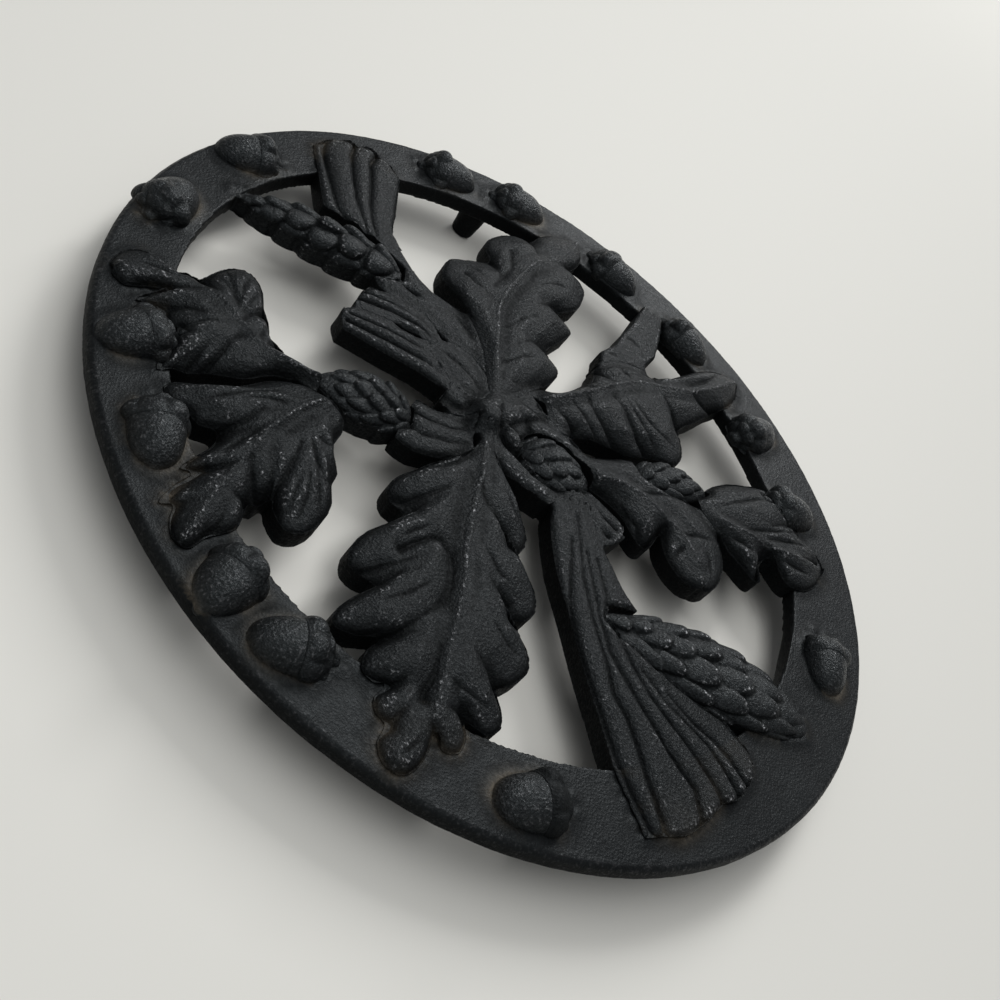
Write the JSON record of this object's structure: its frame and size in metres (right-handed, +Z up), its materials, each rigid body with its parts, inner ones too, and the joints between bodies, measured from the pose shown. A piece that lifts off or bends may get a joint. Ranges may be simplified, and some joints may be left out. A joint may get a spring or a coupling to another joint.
{
  "type": "trivet",
  "caption": "Round cast-iron trivet on four short feet, its open middle filled with oak leaves, pine needles and cones, its rim set with acorns, for standing a hot dish on",
  "frame": {"origin": "the middle of the round rim, in the plane that the feet stand on", "axes": "+Z up, +X to the right and +Y away as the ornament is read, with the big oak leaf's stalk at the middle and its tip towards -Y; units metres"},
  "size_m": [0.19, 0.19, 0.0187],
  "materials": {
    "rim": "matt black sand-cast iron",
    "leaf": "satin black sand-cast iron, worn a little on the midribs",
    "needle": "satin black sand-cast iron, dark in the grooves",
    "cone": "satin black sand-cast iron, worn on the scale tips",
    "acorn": "satin black sand-cast iron, worn on the crowns"
  },
  "bodies": {
    "root": {"rim_ring": "rim", "stem_hub": "leaf", "lower_oak_leaf": "leaf", "upper_oak_leaf": "leaf", "left_leaf_upper": "leaf", "left_leaf_lower": "leaf", "right_leaf_upper": "leaf", "right_leaf_middle": "leaf", "right_leaf_lower": "leaf", "rim_web": "leaf", "lower_needle_fan": "needle", "upper_needle_fan": "needle", "upper_left_branch": "needle", "left_tuft_upper": "needle", "left_tuft_lower": "needle", "hub_tuft": "needle", "right_tuft": "needle", "left_bract": "needle", "cone_centre": "cone", "cone_left": "cone", "cone_right": "cone", "cone_upper_left": "cone", "cone_lower_right": "cone", "acorn_nut_1": "acorn", "acorn_cap_1": "acorn", "acorn_nut_2": "acorn", "acorn_cap_2": "acorn", "acorn_nut_3": "acorn", "acorn_cap_3": "acorn", "acorn_nut_4": "acorn", "acorn_cap_4": "acorn", "acorn_nut_5": "acorn", "acorn_cap_5": "acorn", "acorn_nut_6": "acorn", "acorn_cap_6": "acorn", "acorn_nut_7": "acorn", "acorn_cap_7": "acorn", "acorn_nut_8": "acorn", "acorn_cap_8": "acorn", "acorn_nut_9": "acorn", "acorn_cap_9": "acorn", "acorn_nut_10": "acorn", "acorn_cap_10": "acorn", "acorn_nut_11": "acorn", "acorn_cap_11": "acorn", "acorn_nut_12": "acorn", "acorn_cap_12": "acorn", "acorn_nut_13": "acorn", "acorn_cap_13": "acorn", "acorn_nut_14": "acorn", "acorn_cap_14": "acorn", "foot_1": "rim", "foot_2": "rim", "foot_3": "rim", "foot_4": "rim"}
  },
  "joints": []
}
